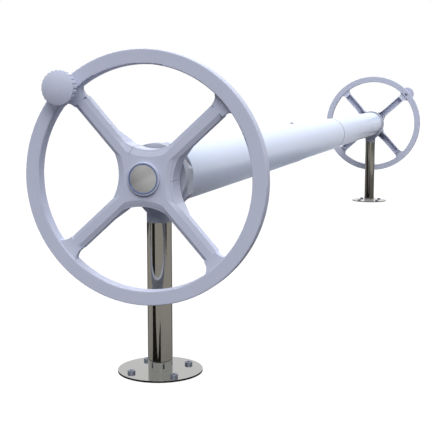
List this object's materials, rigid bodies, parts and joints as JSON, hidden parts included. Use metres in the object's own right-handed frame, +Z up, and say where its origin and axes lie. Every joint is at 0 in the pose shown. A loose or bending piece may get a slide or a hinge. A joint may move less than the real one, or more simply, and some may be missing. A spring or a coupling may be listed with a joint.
{
  "type": "pool cover reel",
  "caption": "Pool cover reel with a telescopic white roller between two floor pedestals and a grey dished handwheel with a knob at each end",
  "frame": {"origin": "On the floor below the roller's axis, midway between the axes of the two posts", "axes": "+X along the roller, from the near pedestal to the far one that slides when the roller is lengthened; +Y level and square to the roller; +Z up"},
  "size_m": [3.476, 0.495, 0.6525],
  "materials": {
    "grey_moulding": "satin moulded plastic, pale lavender grey",
    "tube_white": "white powder coat, semi-gloss",
    "polished_steel": "polished stainless steel",
    "bright_steel": "turned stainless steel",
    "screw_steel": "plain stainless steel fasteners",
    "disc_alloy": "brushed disc, straight grain",
    "nylon": "natural nylon"
  },
  "bodies": {
    "near_pedestal": {"near_base_plate": "polished_steel", "near_anchor_screws": "screw_steel", "near_post": "polished_steel", "near_head": "grey_moulding", "near_front_bush": "nylon", "near_rear_bush": "nylon"},
    "near_roller": {"near_axle": "bright_steel", "near_wheel": "grey_moulding", "near_wheel_pin": "bright_steel", "near_wheel_washer": "bright_steel", "near_wheel_bolt": "bright_steel", "near_hub_cap": "grey_moulding", "near_cap_disc": "disc_alloy", "near_knob_bolt": "screw_steel", "near_knob_washer": "screw_steel", "near_knob_nut": "screw_steel", "near_plug": "nylon", "near_plug_pin": "bright_steel", "near_plug_screws": "screw_steel", "outer_tube": "tube_white", "outer_lock_screw": "screw_steel"},
    "near_knob": {"near_knob": "grey_moulding", "near_knob_cap": "grey_moulding"},
    "middle_section": {"middle_tube": "tube_white", "middle_lock_screw": "screw_steel"},
    "far_pedestal": {"far_base_plate": "polished_steel", "far_anchor_screws": "screw_steel", "far_post": "polished_steel", "far_head": "grey_moulding", "far_front_bush": "nylon", "far_rear_bush": "nylon"},
    "far_roller": {"far_axle": "bright_steel", "far_wheel": "grey_moulding", "far_wheel_pin": "bright_steel", "far_wheel_washer": "bright_steel", "far_wheel_bolt": "bright_steel", "far_hub_cap": "grey_moulding", "far_cap_disc": "disc_alloy", "far_knob_bolt": "screw_steel", "far_knob_washer": "screw_steel", "far_knob_nut": "screw_steel", "far_plug": "nylon", "far_plug_pin": "bright_steel", "far_plug_screws": "screw_steel", "inner_tube": "tube_white"},
    "far_knob": {"far_knob": "grey_moulding", "far_knob_cap": "grey_moulding"}
  },
  "joints": [
    {"name": "roller_spin", "type": "hinge", "parent": "near_pedestal", "child": "near_roller", "pos_m": [-1.6, 0, 0.405], "axis": [1, 0, 0], "continuous": true},
    {"name": "near_knob_turn", "type": "hinge", "parent": "near_roller", "child": "near_knob", "pos_m": [-1.696, 0.15591, 0.57815], "axis": [1, 0, 0], "continuous": true},
    {"name": "telescope", "type": "slide", "parent": "near_pedestal", "child": "far_pedestal", "axis": [1, 0, 0], "range_m": [-1.2, 0.6]},
    {"name": "middle_slide", "type": "slide", "parent": "near_roller", "child": "middle_section", "axis": [1, 0, 0], "range_m": [-0.6, 0.3]},
    {"name": "far_roller_spin", "type": "hinge", "parent": "far_pedestal", "child": "far_roller", "pos_m": [1.6, 0, 0.405], "axis": [1, 0, 0], "continuous": true},
    {"name": "far_knob_turn", "type": "hinge", "parent": "far_roller", "child": "far_knob", "pos_m": [1.696, -0.17315, 0.56091], "axis": [1, 0, 0], "continuous": true}
  ],
  "couplings": [
    {"joint": "middle_slide", "follows": "telescope", "ratio": 0.5},
    {"joint": "far_roller_spin", "follows": "roller_spin", "ratio": 1}
  ]
}
